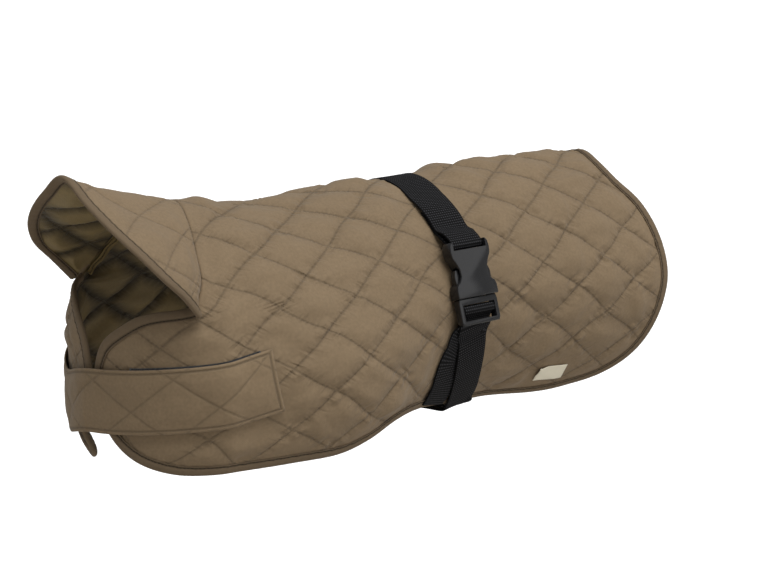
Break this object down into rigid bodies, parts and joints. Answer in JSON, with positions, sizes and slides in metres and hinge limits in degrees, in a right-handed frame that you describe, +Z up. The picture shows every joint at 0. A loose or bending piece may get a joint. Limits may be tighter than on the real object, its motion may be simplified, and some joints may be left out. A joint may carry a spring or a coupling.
{
  "type": "dog winter coat",
  "caption": "Quilted dog coat in its worn hollow form, with a stand-up collar, a wrap-round chest strap and a webbing belly belt that closes in a side release buckle.",
  "frame": {"origin": "on the inside of the back, on the ridge, at the middle of the body panel, where the wearer's back carries the coat", "axes": "+X along the back towards the tail, -Y towards the wearer's left side with the buckle, +Z up"},
  "size_m": [0.6297, 0.274, 0.2602],
  "materials": {
    "shell_cloth": "matt taupe polyester, diamond quilted over thin wadding",
    "binding_tape": "greyer taupe folded tape with a row of topstitching",
    "lining_tape": "dark brown seam tape",
    "hook_tape": "black nylon hook tape",
    "loop_tape": "black nylon loop tape",
    "webbing": "black polypropylene webbing, ribbed weave",
    "buckle_plastic": "dark grey moulded plastic, satin",
    "label_cloth": "blank cream woven label"
  },
  "bodies": {
    "root": {"body_panel": "shell_cloth", "body_binding": "binding_tape", "collar": "shell_cloth", "collar_binding": "binding_tape", "neck_seam_tape": "lining_tape", "chest_strap": "shell_cloth", "strap_hook_tape": "hook_tape", "panel_loop_patch": "loop_tape", "belly_belt": "webbing", "buckle_socket": "buckle_plastic", "buckle_plug": "buckle_plastic", "care_label": "label_cloth"}
  },
  "joints": []
}
